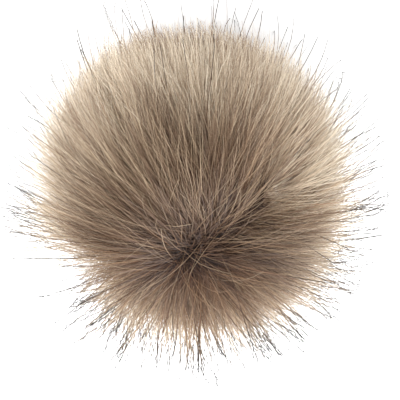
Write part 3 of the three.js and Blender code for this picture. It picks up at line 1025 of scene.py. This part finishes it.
LOCK_TONES = (0.75, 0.6)  # shares of the tone that come from the big lock and the small one
TONE_SPREAD = 0.26
# The skirt made paler: partly its own paler pile, partly painted light that lifts its self-shadow.
SKIRT_PALER_AND_PAINTED_LIGHT = 0.75
# Painted shade on the upper back of the ball, dimming its rim glow.
BACK_PAINTED_SHADE = 0.75
SKIRT_COOLER = 0.85


def hair_colour(polar, turn, short, big, small):
    """Each hair's tone with its painted light and shade, how far it stands out of the painted shade round
    the crown and in the partings, and its warmth, as three columns.
    """
    angle = np.degrees(polar)
    in_skirt = skirt(polar, turn)
    tone = 0.5 + LOCK_TONES[0] * (big_locks["tone"][big] - 0.5)
    tone = tone + LOCK_TONES[1] * (small_locks["tone"][small] - 0.5)
    tone = tone + rng.normal(0, TONE_SPREAD, len(polar))
    # Paler away from the crown; paler still in the skirt, partly its own paler pile and partly painted
    # light; and darker again past ninety degrees, painted shade that dims the rim glow at the top.
    paler = np.interp(angle, [0, 40, 90, 126], [0.50, 0.60, 0.62, 0.50]) + 0.26 * in_skirt
    tone = np.clip(paler + (tone - 0.5) * np.interp(angle, [0, 40, 90], [1, 0.85, 0.6]), 0, 1)
    # Painted shade: the upper back of the ball, at the top of the view, is darkened to dim the rim glow of
    # the white light behind it. The skirt is made paler, partly as painted light.
    back = bump(turn, 75, 70)[0] * band(polar, 60, 160, 30)
    tone = tone + SKIRT_PALER_AND_PAINTED_LIGHT * in_skirt - BACK_PAINTED_SHADE * back
    # Painted shade in the partings, where the hair is shorter: strongest near the crown, fading past forty
    # degrees.
    parting_shade = (1 - short) ** 4 * np.interp(angle, [38, 60], [0.95, 0.2])
    # Painted shade round the crown, reaching farther towards the top of the view and carried into the
    # partings: 0 is the deepest shade, 1 is none.
    crown = np.clip((angle - 3) / (42 + 12 * np.sin(turn)), 0, 1) * (1 - parting_shade)
    warmth = big_locks["warmth"][big] * np.interp(angle, [0, 50, 100], [1, 0.6, 0.1])
    warmth *= 1 - SKIRT_COOLER * in_skirt
    return np.stack([tone, crown, warmth], 1)


LEAN_LIMITS = (0.05, 1.42)
SHORTEST = 0.35
OWN_CURL = 0.045  # beside that of its lock
TWIST = 0.3  # how unevenly the strips face outwards


def hair_set(
    count, steps, width, sizes, gather, stray, mess,
    taper=0.25, sparse=None, reaches=None, lengths=None, wave=0.022, upright=1.0,
):
    """One coat of hair, gathered into locks: centre points, half widths, colour and root turn."""
    polar, turn = roots(count, 0.5)
    if sparse:
        kept = rng.uniform(0, 1, count) < sparse(polar, turn)
        polar, turn = polar[kept], turn[kept]
    field = hair_field(polar, turn, mess)
    if lengths:
        kept = rng.uniform(0, 1, len(polar)) < field[-1] ** 2
        field = [values[kept] for values in field]
        polar, turn = polar[kept], turn[kept]
    normal, away, around, swirl, short = field
    count = len(polar)
    big, small = nearest(normal, big_locks), nearest(normal, small_locks)
    size = np.clip(rng.normal(*sizes, count), SHORTEST, None)
    size = size * big_locks["size"][big] * small_locks["size"][small]
    lean = 0.5 * (big_locks["lean"][big] + small_locks["lean"][small])
    lean = np.clip(lean + np.radians(rng.normal(0, stray, count)), *LEAN_LIMITS)
    lean, length = hair_length(size, lean, polar, turn, short, reaches, lengths, upright)
    swirl = swirl + np.radians(rng.normal(0, stray, count))
    curl = small_locks["curl"][small] + rng.normal(0, OWN_CURL, (count, 2))
    ripple = np.stack([rng.normal(0, wave, count), rng.uniform(0, 2, count)], 1)
    own = hair_paths(normal, away, around, lean, swirl, length, curl, ripple, steps)
    t = np.linspace(0, 1, steps + 1)[None, :, None]
    front = (0.5 - 0.5 * np.sin(turn)) * band(polar, 15, 110, 25)
    with_big = (0.30 + 0.45 * front)[:, None, None] * t**1.3
    guide = follow(small_locks, small, length, steps) * (1 - with_big)
    guide = guide + follow(big_locks, big, length, steps) * with_big
    pull = gather * rng.uniform(0.3, 1.0, count)[:, None, None] * t**1.3 * (1 - 0.45 * t**3)
    path = own * (1 - pull) + guide * pull
    kept_on_table(path)
    facing = normal[:, None, :] + rng.normal(0, TWIST, (count, 1, 3))
    side = unit(np.cross(np.gradient(path, axis=1), facing))
    half = width * rng.uniform(0.7, 1.3, count)[:, None] * (1 - (1 - taper) * t[:, :, 0] ** 2) / 2
    return path, side * half[:, :, None], hair_colour(polar, turn, short, big, small), turn


def ribbon_mesh(name, path, side, tone, keep):
    """One gore's share of a coat as a mesh of thin strips, with its colour values as attributes."""
    path, side, tone = path[keep] + np.array(BALL_CENTRE), side[keep], tone[keep]
    count, rows = path.shape[:2]
    points = np.stack([path - side, path + side], 2).reshape(-1, 3)
    row = np.arange(rows - 1)
    quad = np.stack([2 * row, 2 * row + 1, 2 * row + 3, 2 * row + 2], 1)
    faces = (np.arange(count)[:, None, None] * 2 * rows + quad[None]).reshape(-1, 4)
    mesh = bpy.data.meshes.new(name)
    mesh.vertices.add(len(points))
    mesh.vertices.foreach_set("co", points.astype(np.float32).ravel())
    mesh.loops.add(faces.size)
    mesh.loops.foreach_set("vertex_index", faces.astype(np.int32).ravel())
    mesh.polygons.add(len(faces))
    mesh.polygons.foreach_set("loop_start", (4 * np.arange(len(faces))).astype(np.int32))
    mesh.update(calc_edges=True)
    t = np.repeat(np.tile(np.linspace(0, 1, rows), count), 2)
    mesh.attributes.new("along", "FLOAT", "POINT").data.foreach_set("value", t.astype(np.float32))
    # The crown attribute carries the painted shade round the crown and in the partings.
    for column, attribute in enumerate(("tone", "crown", "warmth")):
        mesh.attributes.new(attribute, "FLOAT", "POINT").data.foreach_set(
            "value", np.repeat(tone[:, column], 2 * rows).astype(np.float32)
        )
    return add_object(name, mesh)


TIP_SPAN = 1.6  # the palest locks run this far along the colours of a hair
OWN_TONES = [(0.0, (0.27, 0.185, 0.14)), (1.0, (1.12, 1.11, 1.09)), (0.5, (0.80, 0.75, 0.695))]


def hair_finish(name, stops, spread, deep, middle):
    """Pile colour from root to tip, with each hair's own tone, the warmer crown, and painted shade round the
    crown and in the partings.
    """
    finish, tree, shader = blank_finish(name)
    nodes, links = tree.nodes, tree.links
    set_inputs(shader, {"Roughness": 0.5, "Specular IOR Level": 0.3})

    def reading(attribute):
        node = nodes.new("ShaderNodeAttribute")
        node.attribute_name = attribute
        return node.outputs["Fac"]

    def ramp(value, marks):
        node = nodes.new("ShaderNodeValToRGB")
        links.new(value, node.inputs["Fac"])
        for i, (place, colour) in enumerate(marks):
            stop = node.color_ramp.elements[i] if i < 2 else node.color_ramp.elements.new(place)
            stop.position = place
            stop.color = (*colour, 1)
        return node.outputs["Color"]

    def times(first, second):
        node = nodes.new("ShaderNodeMix")
        node.data_type = "RGBA"
        node.blend_type = "MULTIPLY"
        node.inputs["Factor"].default_value = 1
        links.new(first, node.inputs["A"])
        links.new(second, node.inputs["B"])
        return node.outputs["Result"]

    shift = worked(tree, "MULTIPLY_ADD", reading("tone"), spread, reading("along"))
    span = worked(tree, "DIVIDE", shift, TIP_SPAN)
    pile = ramp(span, [(place / TIP_SPAN, colour) for place, colour in stops])
    own = ramp(reading("tone"), OWN_TONES)
    # Painted shade round the crown and in the partings, darkest at 0.
    crown = ramp(reading("crown"), [(0.0, deep), (1.0, (1.0, 0.99, 0.97)), (0.55, middle)])
    glow = worked(tree, "MULTIPLY", reading("warmth"), worked(tree, "SUBTRACT", 1, reading("along")))
    warm = ramp(glow, [(0.0, (1.0, 1.0, 1.0)), (0.6, (1.02, 0.72, 0.54))])
    links.new(times(times(times(pile, own), crown), warm), shader.inputs["Base Color"])
    return finish


# Colours of the painted shade round the crown and in the partings: the darkest, and the middle one.
CROWN_SHADE_DEEP = (0.22, 0.15, 0.115)
CROWN_SHADE_MIDDLE = (0.37, 0.29, 0.235)

coat_finish = hair_finish(
    "faux_fur_coat",
    [
        (0.0, (0.030, 0.017, 0.011)),
        (1.6, (0.82, 0.78, 0.71)),
        (0.3, (0.10, 0.058, 0.038)),
        (0.55, (0.36, 0.265, 0.19)),
        (0.8, (0.56, 0.465, 0.355)),
        (1.0, (0.66, 0.58, 0.47)),
    ],
    0.25, CROWN_SHADE_DEEP, CROWN_SHADE_MIDDLE,
)
guard_finish = hair_finish(
    "faux_fur_guard",
    [
        (0.0, (0.05, 0.035, 0.025)),
        (1.0, (0.014, 0.012, 0.012)),
        (0.4, (0.50, 0.40, 0.29)),
        (0.58, (0.50, 0.42, 0.32)),
        (0.80, (0.07, 0.062, 0.058)),
    ],
    0.12, CROWN_SHADE_DEEP, CROWN_SHADE_MIDDLE,
)

pale_finish = hair_finish(
    "faux_fur_pale",
    [
        (0.0, (0.08, 0.052, 0.036)),
        (1.0, (0.82, 0.75, 0.63)),
        (0.25, (0.30, 0.22, 0.155)),
        (0.55, (0.60, 0.50, 0.385)),
    ],
    # The pale hairs' painted shade round the crown and in the partings, lighter than the coat's.
    0.25, (0.32, 0.255, 0.195), (0.52, 0.445, 0.365),
)

OVER_CROWN = np.array([0.0, 0.59, 0.81])  # middle of the smooth part of the coat, as a direction


def guards_where(polar, turn):
    """Few dark-tipped hairs over the upper back of the ball, all of them round its sides and front."""
    upper = np.clip(0.5 + 0.9 * np.sin(turn), 0, 1)
    nearness = sphere_frame(polar, turn)[0] @ OVER_CROWN
    outer = np.interp(nearness, [-0.6, -0.1, 0.3, 0.6, 0.85], [0.4, 0.8, 1, 0.5, 0.04])
    return outer * (1 - 0.94 * upper)


def upper_ball(polar, turn):
    """All over the ball, but thinner towards the hem and in the skirt."""
    return np.interp(np.degrees(polar), [0, 100, 142], [1, 1, 0.4]) * (1 - 0.65 * skirt(polar, turn))


def thin_in_skirt(polar, turn):
    """All over the ball, but at half strength in the skirt."""
    return 1 - 0.5 * skirt(polar, turn)


def crown_only(polar, turn):
    """Round the crown, and nowhere past sixty degrees from it."""
    return np.interp(np.degrees(polar), [0, 34, 52, 60], [1, 1, 0.3, 0])


sets = {
    "under": hair_set(38000, 3, 0.00046, (0.60, 0.10), gather=0.35, stray=7, mess=0.05),
    "coat": hair_set(
        74000, 5, 0.00019, (0.90, 0.20), gather=0.85, stray=4, mess=0.05, sparse=thin_in_skirt
    ),
    "long": hair_set(
        52000, 7, 0.00020, (1, 0.1), gather=0.72, stray=4, mess=0.05, taper=0.3,
        sparse=upper_ball, reaches=(0.060, 0.079), lengths=(0.034, 0.058),
    ),
    "pale": hair_set(
        18000, 6, 0.00019, (1.06, 0.25), gather=0.3, stray=10, mess=0.10, taper=0.5,
        reaches=(0.064, 0.088),
    ),
    "pale_long": hair_set(
        8500, 8, 0.00019, (1, 0.1), gather=0.25, stray=14, mess=0.16, taper=0.5,
        sparse=crown_only, reaches=(0.068, 0.080), lengths=(0.036, 0.060),
    ),
    "guard": hair_set(
        9000, 7, 0.00034, (1, 0.1), gather=0.04, stray=12, mess=0.08, taper=0.8,
        sparse=guards_where, reaches=(0.085, 0.110), wave=0.018, upright=0.3,
    ),
}
finishes = {"pale": pale_finish, "pale_long": pale_finish, "guard": guard_finish}
pile = [[] for _ in range(GORES)]
for coat, (path, side, tone, turn) in sets.items():
    gore_of = np.floor((turn + math.pi / GORES) / (2 * math.pi / GORES)).astype(int) % GORES
    for gore in range(GORES):
        hair = ribbon_mesh(f"fur_{coat}_{gore + 1}", path, side, tone, gore_of == gore)
        hair.data.materials.append(finishes.get(coat, coat_finish))
        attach(hair, "windscreen")
        pile[gore].append(hair)

for gore in range(GORES):
    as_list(pile[gore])
